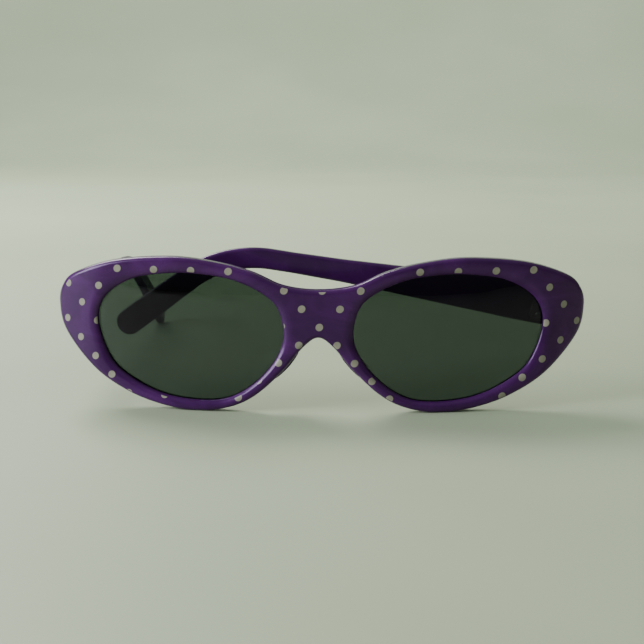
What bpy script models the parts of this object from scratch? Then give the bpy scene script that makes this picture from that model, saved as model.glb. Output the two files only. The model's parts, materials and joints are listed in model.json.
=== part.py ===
"""Cat eye sunglasses: an acetate front, two lenses, and two temples on five-barrel hinges.

+X is the wearer's left, -Y the way the wearer looks, +Z up. The glasses stand on their rims
and on the tip of the right temple, which is open. The left temple is folded behind the lenses.
"""

import math

import bmesh
import bpy
from mathutils import Vector, geometry

MM = 0.001

# Front, in mm. An outline runs clockwise as (x, z) for the wearer's left half.
OUTER_HALF = (
    (0.0, 33.3), (9.3, 34.4), (17.6, 37.9), (27.0, 40.3), (39.2, 41.6), (55.1, 40.2),
    (66.6, 36.3), (70.7, 32.4), (71.9, 27.4), (70.0, 19.9), (61.4, 10.2), (51.7, 4.2),
    (41.9, 1.0), (32.2, -0.12), (23.2, 1.4), (16.3, 5.0), (9.3, 11.6), (3.9, 18.0),
    (0.0, 20.5),
)
OPENING = (
    (9.3, 20.85), (10.8, 28.05), (15.3, 32.35), (23.2, 35.75), (32.0, 37.05), (40.5, 37.05),
    (50.3, 35.25), (57.9, 30.15), (60.0, 23.05), (56.5, 13.15), (50.3, 7.85), (41.9, 4.15),
    (32.2, 2.85), (23.9, 3.85), (16.9, 8.15), (11.4, 14.55),
)
LENS_MIDDLE = (35.0, 20.65)
OUTER_STEPS = 5
OPENING_STEPS = 4
WRAP_RADIUS = 230.0
WING_START = 58.0
WING_TURN_FRONT = 0.016
WING_TURN_BACK = 0.008
FRONT_THICK = 4.0
FILL_STEP = 5.0
FILL_CLEAR = 1.5

# Steps of the front's section: (distance in from the edge, distance behind the front face).
OUTER_FRONT_EDGE = ((0.8, 0.0), (0.22, 0.25), (0.0, 0.8))
OUTER_BACK_EDGE = ((0.0, 0.7), (0.2, 0.2), (0.7, 0.0))
OPENING_FRONT = ((1.55, 0.0), (0.85, 0.2), (0.3, 0.65), (0.0, 1.4), (0.0, 1.6), (0.7, 1.6))
OPENING_BACK = ((0.7, 3.5), (0.0, 3.5), (0.0, 3.65), (0.35, 4.0))

# Lenses
LENS_IN_GROOVE = 0.4
LENS_FACE = 1.85
LENS_THICK = 1.4
LENS_BULGE = 1.0
LENS_RINGS = (0.35, 0.65, 0.85, 1.0)

# Nose pads
PAD_MIDDLE = (9.5, 13.1)
PAD_SLOPE = math.radians(-49.0)
PAD_HALF_LONG = 6.6
PAD_HALF_WIDE = 1.9
PAD_RINGS = ((0.15, 1.0), (1.3, 1.0), (2.7, 0.95), (3.9, 0.82), (4.7, 0.58), (5.0, 0.25))
PAD_LEAN = 0.15
PAD_POINTS = 20

# Hinges. The axis leans outward at the top, so a folded temple climbs towards the other side.
AXIS_X = 65.3
AXIS_Z = 26.55
AXIS_BEHIND_WING = 2.15
AXIS_LEAN = math.radians(9.0)
BARREL_RADIUS = 1.5
BORE_RADIUS = 0.85
BARREL_HALF_HIGH = 4.85
BARREL_COUNT = 5
BARREL_GAP = 0.3
ARC_POINTS = 12
LEAF_INNER_X = 61.5
LEAF_END_X = 64.3
LEAF_SINK = 0.2
LEAF_PROUD = 0.7
POCKET_GAP = 0.3
POCKET_BEYOND_LEAF = 1.2
TEMPLE_LEAF = (2.0, 7.4, 1.25, 2.1)
SCREW_SHANK = 0.6
SCREW_HEAD = 1.3
SCREW_HEAD_HIGH = 0.85
SCREW_SLOT = 0.4
RIVET_SHANK = 0.5
RIVET_HEAD = 0.9
RIVET_HEAD_HIGH = 0.4
RIVET_LONG = 1.9
RIVET_BORE = 0.72
RIVET_UP = 3.0
FRONT_RIVET_X = 62.9
TEMPLE_RIVET_ALONG = 5.2
ROUND_POINTS = 12

# Temples: (distance from the hinge along the middle line, height, thickness)
TEMPLE_SIZES = (
    (0.0, 12.0, 3.3), (12.0, 11.4, 3.3), (30.0, 9.5, 3.2), (45.0, 7.9, 3.1), (60.0, 6.5, 3.0),
    (74.0, 5.9, 3.0), (88.0, 6.0, 3.0), (104.0, 6.8, 3.0), (120.0, 7.4, 3.0), (132.0, 7.0, 3.0),
)
TEMPLE_INNER = 1.7
TEMPLE_LONG = 127.5
EAR_START = 80.0
EAR_BEND_LONG = 24.0
EAR_ANGLE = math.radians(45.05)
BOW_START = 60.0
BOW_DEPTH = 4.0
ROOT_BLEND = 6.0
ROOT_GAP = 0.35
TEMPLE_STEP = 6.0
TEMPLE_POINTS = 16
TIP_LONG = 3.4
CORE_LONG = 112.0
CORE_START = 6.0
CORE_HALF_WIDE = 0.35
CORE_HALF_HIGH = 0.9
CORE_GAP = 0.25

# The middle of the glasses' depth, which the world origin stands under.
DEPTH_MIDDLE = 67.59

COLORS = {
    "acetate": ((0.115, 0.035, 0.22), 0.12, 0.0),
    "lens": ((0.10, 0.12, 0.10), 0.04, 0.0),
    "metal": ((0.72, 0.70, 0.66), 0.28, 1.0),
    "wire": ((0.55, 0.55, 0.56), 0.35, 1.0),
}


def clear_scene():
    for thing in list(bpy.data.objects):
        bpy.data.objects.remove(thing)


def material(name, kind):
    color, roughness, metallic = COLORS[kind]
    made = bpy.data.materials.new(name)
    made.use_nodes = True
    shader = made.node_tree.nodes["Principled BSDF"]
    shader.inputs["Base Color"].default_value = (*color, 1.0)
    shader.inputs["Roughness"].default_value = roughness
    shader.inputs["Metallic"].default_value = metallic
    made.diffuse_color = (*color, 1.0)
    return made


def add_object(name, mesh_maker, kind, origin=(0.0, 0.0, 0.0)):
    """An object of the bmesh, which is in mm in the world, with its origin at a point."""
    bmesh.ops.recalc_face_normals(mesh_maker, faces=mesh_maker.faces)
    shift = Vector(origin)
    for vert in mesh_maker.verts:
        vert.co = (vert.co - shift) * MM
    mesh = bpy.data.meshes.new(name)
    mesh_maker.to_mesh(mesh)
    mesh_maker.free()
    made = bpy.data.objects.new(name, mesh)
    made.location = (shift - Vector((0.0, DEPTH_MIDDLE, 0.0))) * MM
    bpy.context.scene.collection.objects.link(made)
    if kind:
        mesh.materials.append(material(name, kind))
    else:
        made.hide_render = True
        made.display_type = "WIRE"
    return made


def cut(target, cutter):
    step = target.modifiers.new(f"cut_{cutter.name}", "BOOLEAN")
    step.operation = "DIFFERENCE"
    step.solver = "EXACT"
    step.object = cutter


# ---------------------------------------------------------------- outlines and surfaces


def smooth_loop(points, steps):
    """A closed curve through the points, with this many steps between each two."""
    found = []
    count = len(points)
    for i in range(count):
        before, here, after, last = (Vector(points[(i + k) % count]) for k in (-1, 0, 1, 2))
        for step in range(steps):
            t = step / steps
            found.append(
                0.5
                * (
                    2 * here
                    + (after - before) * t
                    + (2 * before - 5 * here + 4 * after - last) * t**2
                    + (3 * here - before - 3 * after + last) * t**3
                )
            )
    return found


def outer_outline():
    mirrored = [(-x, z) for x, z in reversed(OUTER_HALF[1:-1])]
    loop = smooth_loop(list(OUTER_HALF) + mirrored, OUTER_STEPS)
    return [Vector((p.x, max(p.y, 0.0))) for p in loop]


def opening_outline(side):
    return [Vector((side * p.x, p.y)) for p in smooth_loop(OPENING, OPENING_STEPS)]


def loop_area(loop):
    return 0.5 * sum(loop[i - 1].cross(loop[i]) for i in range(len(loop)))


def moved_loop(loop, distance):
    """The loop with each point moved outward by a distance, square to the curve there."""
    turn = 1.0 if loop_area(loop) > 0 else -1.0
    found = []
    for i, point in enumerate(loop):
        along = (loop[(i + 1) % len(loop)] - loop[i - 1]).normalized()
        found.append(point + distance * turn * Vector((along.y, -along.x)))
    return found


def wrap(x, turn):
    beyond = max(abs(x) - WING_START, 0.0)
    return x * x / (2 * WRAP_RADIUS) + turn * beyond**2


def front_face_y(x):
    return wrap(x, WING_TURN_FRONT)


def back_face_y(x):
    return FRONT_THICK + wrap(x, WING_TURN_BACK)


def inside(point, loop):
    """Whether a point is in a loop, counting the edges to its right."""
    hit = False
    for i in range(len(loop)):
        a, b = loop[i - 1], loop[i]
        if (a.y > point.y) != (b.y > point.y):
            if point.x < a.x + (point.y - a.y) / (b.y - a.y) * (b.x - a.x):
                hit = not hit
    return hit


def distance_to(point, loop):
    return min((point - p).length for p in loop)


def strip(bm, first, second):
    for i in range(len(first)):
        bm.faces.new((first[i - 1], first[i], second[i], second[i - 1]))


def fill_between(bm, outer, holes, depth):
    """Triangles between a ring of vertices and the rings inside it, on the surface y = depth(x)."""
    rings = [outer] + holes
    loops = [[Vector((v.co.x, v.co.z)) for v in ring] for ring in rings]
    known = [vert for ring in rings for vert in ring]
    flat = [point for loop in loops for point in loop]
    edges = []
    start = 0
    for loop in loops:
        edges += [(start + i, start + (i + 1) % len(loop)) for i in range(len(loop))]
        start += len(loop)
    across = int(max(p.x for p in loops[0]) / FILL_STEP) + 1
    up = int(max(p.y for p in loops[0]) / FILL_STEP) + 1
    for i in range(-across, across + 1):
        for j in range(up + 1):
            point = Vector((i * FILL_STEP, j * FILL_STEP))
            if not inside(point, loops[0]) or any(inside(point, hole) for hole in loops[1:]):
                continue
            if min(distance_to(point, loop) for loop in loops) < FILL_CLEAR:
                continue
            known.append(bm.verts.new((point.x, depth(point.x), point.y)))
            flat.append(point)
    points, _, faces, origins, _, _ = geometry.delaunay_2d_cdt(flat, edges, [], 0, 1e-6)
    for face in faces:
        middle = sum((points[i] for i in face), Vector((0.0, 0.0))) / len(face)
        if inside(middle, loops[0]) and not any(inside(middle, hole) for hole in loops[1:]):
            bm.faces.new([known[origins[i][0]] for i in face])


# ---------------------------------------------------------------- front, lenses and pads


def ring_at(bm, loop, depth):
    return [bm.verts.new((p.x, depth(p.x), p.y)) for p in loop]


def front_bmesh():
    bm = bmesh.new()
    outline = outer_outline()
    outer_rings = [
        ring_at(bm, moved_loop(outline, -inset), lambda x, d=behind: front_face_y(x) + d)
        for inset, behind in OUTER_FRONT_EDGE
    ]
    outer_rings += [
        ring_at(bm, moved_loop(outline, -inset), lambda x, d=before: back_face_y(x) - d)
        for inset, before in OUTER_BACK_EDGE
    ]
    for first, second in zip(outer_rings, outer_rings[1:]):
        strip(bm, first, second)
    front_holes = []
    back_holes = []
    for side in (1, -1):
        opening = opening_outline(side)
        rings = [
            ring_at(bm, moved_loop(opening, outset), lambda x, d=behind: front_face_y(x) + d)
            for outset, behind in OPENING_FRONT + OPENING_BACK[:-1]
        ]
        outset = OPENING_BACK[-1][0]
        rings.append(ring_at(bm, moved_loop(opening, outset), back_face_y))
        for first, second in zip(rings, rings[1:]):
            strip(bm, first, second)
        front_holes.append(rings[0])
        back_holes.append(rings[-1])
    fill_between(bm, outer_rings[0], front_holes, front_face_y)
    fill_between(bm, outer_rings[-1], back_holes, back_face_y)
    return bm


def lens_bmesh(side):
    bm = bmesh.new()
    edge = moved_loop(opening_outline(side), LENS_IN_GROOVE)
    middle = Vector((side * LENS_MIDDLE[0], LENS_MIDDLE[1]))
    sheets = []
    for behind in (LENS_FACE, LENS_FACE + LENS_THICK):
        centre = bm.verts.new((middle.x, front_face_y(middle.x) + behind - LENS_BULGE, middle.y))
        rings = []
        for part in LENS_RINGS:
            bulge = LENS_BULGE * (1.0 - part**2)
            loop = [middle + part * (p - middle) for p in edge]
            rings.append(ring_at(bm, loop, lambda x, d=behind - bulge: front_face_y(x) + d))
        for i in range(len(edge)):
            bm.faces.new((centre, rings[0][i - 1], rings[0][i]))
        for first, second in zip(rings, rings[1:]):
            strip(bm, first, second)
        sheets.append(rings[-1])
    strip(bm, *sheets)
    return bm


def pad_bmesh(side):
    bm = bmesh.new()
    rings = []
    for height, part in PAD_RINGS:
        ring = []
        for i in range(PAD_POINTS):
            angle = 2 * math.pi * i / PAD_POINTS
            along = PAD_HALF_LONG * part * math.cos(angle)
            across = PAD_HALF_WIDE * part * math.sin(angle)
            x = PAD_MIDDLE[0] + along * math.cos(PAD_SLOPE) - across * math.sin(PAD_SLOPE)
            z = PAD_MIDDLE[1] + along * math.sin(PAD_SLOPE) + across * math.cos(PAD_SLOPE)
            y = back_face_y(x) + height
            ring.append(bm.verts.new((side * (x + PAD_LEAN * height), y, z)))
        rings.append(ring)
    for first, second in zip(rings, rings[1:]):
        strip(bm, first, second)
    bm.faces.new(rings[0])
    bm.faces.new(rings[-1])
    return bm


# ---------------------------------------------------------------- hinge frames


class HingeFrame:
    """Places (u, w, h) on one side's hinge: along the temple, outward, and up the axis."""

    def __init__(self, side, folded):
        self.side = side
        self.pin = Vector((side * AXIS_X, back_face_y(AXIS_X) + AXIS_BEHIND_WING, AXIS_Z))
        self.up = Vector((side * math.sin(AXIS_LEAN), 0.0, math.cos(AXIS_LEAN)))
        self.across = Vector((side * math.cos(AXIS_LEAN), 0.0, -math.sin(AXIS_LEAN)))
        self.back = Vector((0.0, 1.0, 0.0))
        self.along, self.outward = self.back, self.across
        if folded:
            self.along, self.outward = -self.across, self.back

    def temple_point(self, u, w, h):
        return self.pin + u * self.along + w * self.outward + h * self.up

    def front_point(self, x, y, h):
        """A point beside the pin given by its x and y at the pin's height."""
        return self.pin + (x - AXIS_X) * self.across + (y - self.pin.y) * self.back + h * self.up


def barrel_levels():
    tall = (2 * BARREL_HALF_HIGH - (BARREL_COUNT - 1) * BARREL_GAP) / BARREL_COUNT
    levels = []
    for i in range(BARREL_COUNT):
        low = -BARREL_HALF_HIGH + i * (tall + BARREL_GAP)
        levels += [low, low + tall]
    return levels


def leaf_bmesh(plate, circle_middle, start, end, barrels, place):
    """A hinge leaf: a plate whose first edge carries barrels around the pin.

    The plate is four (p, q) corners, and the tab of each barrel leaves its first edge, goes
    round the circle between two angles, and comes back to it.
    """
    bm = bmesh.new()
    levels = barrel_levels()
    middle = Vector(circle_middle)
    corners = [Vector(corner) for corner in plate]
    columns = [[bm.verts.new(place(c.x, c.y, h)) for c in corners] for h in levels]
    arc = [
        middle
        + BARREL_RADIUS * Vector((math.cos(angle), math.sin(angle)))
        for angle in (
            start + (end - start) * i / (ARC_POINTS - 1) for i in range(ARC_POINTS)
        )
    ]
    outer = [corners[0]] + arc + [corners[1]]
    bore = [middle + BORE_RADIUS * (p - middle).normalized() for p in outer]
    for k in range(len(levels) - 1):
        low, high = columns[k], columns[k + 1]
        for i in range(1, len(corners)):
            j = (i + 1) % len(corners)
            bm.faces.new((low[i], low[j], high[j], high[i]))
        if k // 2 not in barrels or k % 2:
            bm.faces.new((low[0], low[1], high[1], high[0]))
            continue
        rings = []
        for level, column in ((levels[k], low), (levels[k + 1], high)):
            edge = [column[0]] + [bm.verts.new(place(p.x, p.y, level)) for p in arc]
            edge.append(column[1])
            rings.append((edge, [bm.verts.new(place(p.x, p.y, level)) for p in bore]))
        (low_edge, low_bore), (high_edge, high_bore) = rings
        strip(bm, low_bore, high_bore)
        strip(bm, low_edge, low_bore)
        strip(bm, high_edge, high_bore)
        for i in range(1, len(low_edge)):
            bm.faces.new((low_edge[i - 1], low_edge[i], high_edge[i], high_edge[i - 1]))
    bm.faces.new(columns[0])
    bm.faces.new(columns[-1])
    return bm


def box_bmesh(corners, low, high, place):
    bm = bmesh.new()
    rings = [[bm.verts.new(place(p, q, h)) for p, q in corners] for h in (low, high)]
    strip(bm, *rings)
    bm.faces.new(rings[0])
    bm.faces.new(rings[1])
    return bm


def turned_bmesh(profile, base, axis, points=ROUND_POINTS):
    """A solid of revolution of (radius, distance along the axis) steps."""
    bm = bmesh.new()
    axis = axis.normalized()
    side = axis.orthogonal().normalized()
    other = axis.cross(side)
    rings = []
    for radius, along in profile:
        ring = []
        for i in range(points):
            angle = 2 * math.pi * i / points
            out = radius * (math.cos(angle) * side + math.sin(angle) * other)
            ring.append(bm.verts.new(base + along * axis + out))
        rings.append(ring)
    for first, second in zip(rings, rings[1:]):
        strip(bm, first, second)
    bm.faces.new(rings[0])
    bm.faces.new(rings[-1])
    return bm


def wing_leaf_lines():
    """The wing leaf's plate and its pocket, as (x, y) corners at the pin's height."""
    inner = Vector((LEAF_INNER_X, back_face_y(LEAF_INNER_X)))
    end = Vector((LEAF_END_X, back_face_y(LEAF_END_X)))
    along = (end - inner).normalized()
    out = Vector((-along.y, along.x))
    plate = (
        end - LEAF_SINK * out, end + LEAF_PROUD * out,
        inner + LEAF_PROUD * out, inner - LEAF_SINK * out,
    )
    grown_inner = inner - POCKET_GAP * along
    grown_end = end + POCKET_BEYOND_LEAF * along
    deep = LEAF_SINK + POCKET_GAP
    pocket = (
        grown_end - deep * out, grown_end + 2 * out, grown_inner + 2 * out, grown_inner - deep * out
    )
    return plate, pocket, out


# ---------------------------------------------------------------- temples


def middle_line(distance):
    """The temple's middle line at a distance along it: (u, h) and its slope."""
    if distance <= EAR_START:
        return Vector((distance, 0.0)), 0.0
    bend = min(distance - EAR_START, EAR_BEND_LONG)
    rate = EAR_ANGLE / EAR_BEND_LONG
    slope = bend * rate
    place = Vector((EAR_START + math.sin(slope) / rate, -(1.0 - math.cos(slope)) / rate))
    rest = max(distance - EAR_START - EAR_BEND_LONG, 0.0)
    return place + rest * Vector((math.cos(slope), -math.sin(slope))), slope


def temple_size(distance):
    for (low, high_0, thick_0), (high, high_1, thick_1) in zip(TEMPLE_SIZES, TEMPLE_SIZES[1:]):
        if distance <= high:
            t = (distance - low) / (high - low)
            return high_0 + t * (high_1 - high_0), thick_0 + t * (thick_1 - thick_0)
    return TEMPLE_SIZES[-1][1:]


def bow(u):
    return -BOW_DEPTH * (max(u - BOW_START, 0.0) / (TEMPLE_LONG - BOW_START)) ** 2


def root_end(w, h):
    """How far along the temple its end face is, so that it meets the wing when open."""
    x = AXIS_X + w * math.cos(AXIS_LEAN) + h * math.sin(AXIS_LEAN)
    return back_face_y(x) + ROOT_GAP - back_face_y(AXIS_X) - AXIS_BEHIND_WING


def section(bm, frame, distance, half_wide, half_high, corner, middle_w):
    """One ring of a rounded rectangle, square to the temple's middle line."""
    place, slope = middle_line(distance)
    ring = []
    for i in range(TEMPLE_POINTS):
        angle = 2 * math.pi * (i + 0.5) / TEMPLE_POINTS
        c, s = math.cos(angle), math.sin(angle)
        w = half_wide * math.copysign(abs(c) ** corner, c)
        h = half_high * math.copysign(abs(s) ** corner, s)
        u_here = place.x + h * math.sin(slope)
        h_here = place.y + h * math.cos(slope)
        w_here = middle_w + w + bow(u_here)
        if distance < ROOT_BLEND:
            u_here += root_end(w_here, h_here) * (1.0 - distance / ROOT_BLEND)
        ring.append(bm.verts.new(frame.temple_point(u_here, w_here, h_here)))
    return ring


def temple_bmesh(frame):
    bm = bmesh.new()
    middle_w = TEMPLE_INNER + TEMPLE_SIZES[0][2] / 2
    body_end = TEMPLE_LONG - TIP_LONG
    count = round(body_end / TEMPLE_STEP)
    outer = []
    for i in range(count + 1):
        distance = body_end * i / count
        high, thick = temple_size(distance)
        outer.append(section(bm, frame, distance, thick / 2, high / 2, 0.45, middle_w))
    for part in (0.4, 0.7, 0.9, 1.0):
        distance = body_end + TIP_LONG * part
        high, thick = temple_size(distance)
        shrink = math.sqrt(1.0 - (0.97 * part) ** 2)
        outer.append(
            section(bm, frame, distance, thick / 2 * shrink, high / 2 * shrink, 0.7, middle_w)
        )
    bore = []
    bore_end = CORE_START + CORE_LONG + CORE_GAP
    count = round(bore_end / TEMPLE_STEP)
    for i in range(count + 1):
        wide = CORE_HALF_WIDE + CORE_GAP
        high = CORE_HALF_HIGH + CORE_GAP
        bore.append(section(bm, frame, bore_end * i / count, wide, high, 0.6, middle_w))
    for rings in (outer, bore):
        for first, second in zip(rings, rings[1:]):
            strip(bm, first, second)
        bm.faces.new(rings[-1])
    strip(bm, outer[0], bore[0])
    return bm


def core_bmesh(frame):
    bm = bmesh.new()
    middle_w = TEMPLE_INNER + TEMPLE_SIZES[0][2] / 2
    count = round(CORE_LONG / TEMPLE_STEP)
    rings = [
        section(
            bm, frame, CORE_START + CORE_LONG * i / count,
            CORE_HALF_WIDE, CORE_HALF_HIGH, 0.6, middle_w,
        )
        for i in range(count + 1)
    ]
    for first, second in zip(rings, rings[1:]):
        strip(bm, first, second)
    bm.faces.new(rings[0])
    bm.faces.new(rings[-1])
    return bm


# ---------------------------------------------------------------- fixings


def rivet_profile():
    """The head is domed and stands on the leaf, and the shank goes through it."""
    return (
        (0.35 * RIVET_HEAD, RIVET_HEAD_HIGH), (0.8 * RIVET_HEAD, 0.75 * RIVET_HEAD_HIGH),
        (RIVET_HEAD, 0.15), (RIVET_HEAD, 0.05), (RIVET_SHANK, 0.05), (RIVET_SHANK, -RIVET_LONG),
    )


def rivet_bore_profile():
    return ((RIVET_BORE, 1.0), (RIVET_BORE, -RIVET_LONG - POCKET_GAP))


def add_rivet(name, surface, out, origin, pieces):
    for piece in pieces:
        bore = add_object(
            f"{name}_bore_{piece.name}", turned_bmesh(rivet_bore_profile(), surface, out), None
        )
        cut(piece, bore)
    add_object(name, turned_bmesh(rivet_profile(), surface, out), "metal", origin)


def add_screw(name, frame):
    top = BARREL_HALF_HIGH + 0.2
    tip = BARREL_HALF_HIGH - 0.1
    profile = (
        (0.7 * SCREW_HEAD, top + SCREW_HEAD_HIGH), (SCREW_HEAD, top + 0.75 * SCREW_HEAD_HIGH),
        (SCREW_HEAD, top), (SCREW_SHANK, top), (SCREW_SHANK, -tip), (0.7 * SCREW_SHANK, -tip - 0.3),
    )
    screw = add_object(
        name, turned_bmesh(profile, frame.pin, frame.up), "metal", frame.pin
    )
    half = SCREW_SLOT / 2
    corners = ((-2, -half), (2, -half), (2, half), (-2, half))
    bm = box_bmesh(
        corners, top + 0.5 * SCREW_HEAD_HIGH, top + 2.0,
        lambda p, q, h: frame.pin + p * frame.across + q * frame.back + h * frame.up,
    )
    cut(screw, add_object(f"{name}_slot", bm, None))


def build_side(side, word, folded, front):
    frame = HingeFrame(side, folded)
    add_object(f"lens_{word}", lens_bmesh(side), "lens")
    add_object(f"nose_pad_{word}", pad_bmesh(side), "acetate")

    plate, pocket, out = wing_leaf_lines()
    pocket_tall = BARREL_HALF_HIGH + POCKET_GAP
    cut(
        front,
        add_object(
            f"wing_pocket_{word}",
            box_bmesh(pocket, -pocket_tall, pocket_tall, frame.front_point),
            None,
        ),
    )
    wing_leaf = add_object(
        f"front_hinge_{word}",
        leaf_bmesh(
            plate, (AXIS_X, frame.pin.y), math.radians(-75), math.radians(195),
            (0, 2, 4), frame.front_point,
        ),
        "metal",
    )
    out_x = (LEAF_INNER_X + LEAF_END_X) / 2
    on_back = Vector((out_x, back_face_y(out_x))) + LEAF_PROUD * out
    out_world = out.x * frame.across + out.y * frame.back
    for level, place in ((RIVET_UP, "upper"), (-RIVET_UP, "lower")):
        surface = frame.front_point(on_back.x, on_back.y, level)
        add_rivet(
            f"front_rivet_{word}_{place}", surface, out_world, (0, 0, 0), (wing_leaf, front)
        )

    temple = add_object(f"temple_{word}", temple_bmesh(frame), "acetate", frame.pin)
    add_object(f"temple_core_{word}", core_bmesh(frame), "wire", frame.pin)
    low_u, high_u, low_w, high_w = TEMPLE_LEAF
    leaf_plate = ((low_u, high_w), (low_u, low_w), (high_u, low_w), (high_u, high_w))
    temple_leaf = add_object(
        f"temple_hinge_{word}",
        leaf_bmesh(
            leaf_plate, (0, 0), math.radians(75), math.radians(325), (1, 3), frame.temple_point
        ),
        "metal",
        frame.pin,
    )
    deep = high_w + POCKET_GAP
    slot = ((-4, 0), (high_u + POCKET_GAP, 0), (high_u + POCKET_GAP, deep), (-4, deep))
    cut(
        temple,
        add_object(
            f"temple_pocket_{word}",
            box_bmesh(slot, -pocket_tall, pocket_tall, frame.temple_point),
            None,
        ),
    )
    for level, place in ((RIVET_UP, "upper"), (-RIVET_UP, "lower")):
        surface = frame.temple_point(TEMPLE_RIVET_ALONG, low_w, level)
        add_rivet(
            f"temple_rivet_{word}_{place}", surface, -frame.outward, frame.pin,
            (temple_leaf, temple),
        )
    add_screw(f"hinge_screw_{word}", frame)


clear_scene()
front_frame = add_object("front_frame", front_bmesh(), "acetate")
build_side(1, "left", True, front_frame)
build_side(-1, "right", False, front_frame)
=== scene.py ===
"""The looks of the cat eye sunglasses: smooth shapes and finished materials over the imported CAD.

Shapes are worked out in mm, in the CAD's own frame: X across, Y back from the front's foremost
point, Z up. Every shape is built at a finer step than its CAD node, which it stands for.
"""

import json
import math

import bmesh
import bpy
import numpy as np
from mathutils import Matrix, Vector, geometry


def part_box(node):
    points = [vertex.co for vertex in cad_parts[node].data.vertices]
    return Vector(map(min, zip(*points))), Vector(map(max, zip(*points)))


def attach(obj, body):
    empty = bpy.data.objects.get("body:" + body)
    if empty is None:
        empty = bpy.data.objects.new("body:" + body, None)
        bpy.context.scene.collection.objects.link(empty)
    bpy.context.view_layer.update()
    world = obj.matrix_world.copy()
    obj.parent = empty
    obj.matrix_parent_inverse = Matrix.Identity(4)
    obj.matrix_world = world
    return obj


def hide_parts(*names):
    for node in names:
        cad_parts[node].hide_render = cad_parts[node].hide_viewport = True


MM = 0.001

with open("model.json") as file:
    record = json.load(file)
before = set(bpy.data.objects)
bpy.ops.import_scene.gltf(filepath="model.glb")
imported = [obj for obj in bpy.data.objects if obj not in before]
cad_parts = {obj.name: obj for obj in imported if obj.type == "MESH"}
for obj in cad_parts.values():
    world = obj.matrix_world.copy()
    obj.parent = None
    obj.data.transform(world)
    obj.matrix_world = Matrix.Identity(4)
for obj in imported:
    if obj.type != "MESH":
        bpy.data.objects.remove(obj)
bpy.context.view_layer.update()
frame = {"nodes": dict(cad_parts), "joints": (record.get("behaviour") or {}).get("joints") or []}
FRONT_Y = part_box("front_frame")[0][1] / MM

# Front, in mm. An outline runs clockwise as (x, z) for the wearer's left half.
OUTER_HALF = (
    (0.0, 33.3), (9.3, 34.4), (17.6, 37.9), (27.0, 40.3), (39.2, 41.6), (55.1, 40.2),
    (66.6, 36.3), (70.7, 32.4), (71.9, 27.4), (70.0, 19.9), (61.4, 10.2), (51.7, 4.2),
    (41.9, 1.0), (32.2, -0.12), (23.2, 1.4), (16.3, 5.0), (9.3, 11.6), (3.9, 18.0),
    (0.0, 20.5),
)
OPENING = (
    (9.3, 20.85), (10.8, 28.05), (15.3, 32.35), (23.2, 35.75), (32.0, 37.05), (40.5, 37.05),
    (50.3, 35.25), (57.9, 30.15), (60.0, 23.05), (56.5, 13.15), (50.3, 7.85), (41.9, 4.15),
    (32.2, 2.85), (23.9, 3.85), (16.9, 8.15), (11.4, 14.55),
)
LENS_MIDDLE = (35.0, 20.65)
OUTER_STEPS = 14
OPENING_STEPS = 14
WRAP_RADIUS = 230.0
WING_START = 58.0
WING_TURN_FRONT = 0.016
WING_TURN_BACK = 0.008
FRONT_THICK = 4.0
FILL_STEP = 1.3
FILL_CLEAR = 0.6

# Front's section
EDGE_ROUND_FRONT = 1.15
EDGE_ROUND_BACK = 0.8
ROUND_STEPS = 7
ROLL_WIDE = 2.9
ROLL_SHARE = 0.5
ROLL_DEEP = 1.4
ROLL_STEPS = 14
LIP_END = 1.6
GROOVE_OUT = 0.7
GROOVE_BACK = 3.5
INNER_ROUND_BACK = 0.35

# Lenses
LENS_IN_GROOVE = 0.4
LENS_FACE = 1.85
LENS_THICK = 1.4
LENS_BULGE = 1.0
LENS_RINGS = 16

# Nose pads
PAD_MIDDLE = (9.5, 13.1)
PAD_SLOPE = math.radians(-49.0)
PAD_HALF_LONG = 6.6
PAD_HALF_WIDE = 1.9
PAD_HIGH = 5.0
PAD_BASE = 0.15
PAD_LEAN = 0.15
PAD_CROWN = 1.15
PAD_SIDES = 0.55
PAD_POINTS = 48
PAD_RINGS = 18

# Hinges
AXIS_X = 65.3
AXIS_BEHIND_WING = 2.15
AXIS_LEAN = math.radians(9.0)
BARREL_RADIUS = 1.5
BORE_RADIUS = 0.85
BARREL_HALF_HIGH = 4.85
BARREL_COUNT = 5
BARREL_GAP = 0.3
ARC_POINTS = 40
LEAF_INNER_X = 61.5
LEAF_END_X = 64.3
LEAF_SINK = 0.2
LEAF_PROUD = 0.7
POCKET_GAP = 0.3
POCKET_BEYOND_LEAF = 1.2
TEMPLE_LEAF = (2.0, 7.4, 1.25, 2.1)
SCREW_SHANK = 0.6
SCREW_HEAD = 1.3
SCREW_HEAD_HIGH = 0.85
SCREW_SLOT = 0.4
RIVET_SHANK = 0.5
RIVET_HEAD = 0.9
RIVET_HEAD_HIGH = 0.4
RIVET_LONG = 1.9
RIVET_BORE = 0.72
RIVET_UP = 3.0
TEMPLE_RIVET_ALONG = 5.2
ROUND_POINTS = 48
METAL_EDGE = 0.09
SCREW_SOFT_EDGE = 0.04
EDGE_SEGMENTS = 3
EDGE_SHARP = math.radians(40)
WING_LEAF_WRAP = (math.radians(-75), math.radians(195))
TEMPLE_LEAF_WRAP = (math.radians(75), math.radians(325))
HEAD_LIP = 0.05
RIVET_FOOT = 0.12
RIVET_FLAT = 0.2
RIVET_STEPS = 7
SCREW_SEAT = 0.2
SCREW_SHORT = 0.1
SCREW_ROUND = 0.3
SCREW_STEPS = 4
SCREW_TIP = 0.7
SCREW_TIP_LONG = 0.3
CUT_BEYOND = 2.0
SLOT_START = -4.0

# How far the finer outer shapes stay inside the coarser CAD ones
FRONT_INSIDE = 0.02
TEMPLE_INSIDE = 0.11

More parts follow.
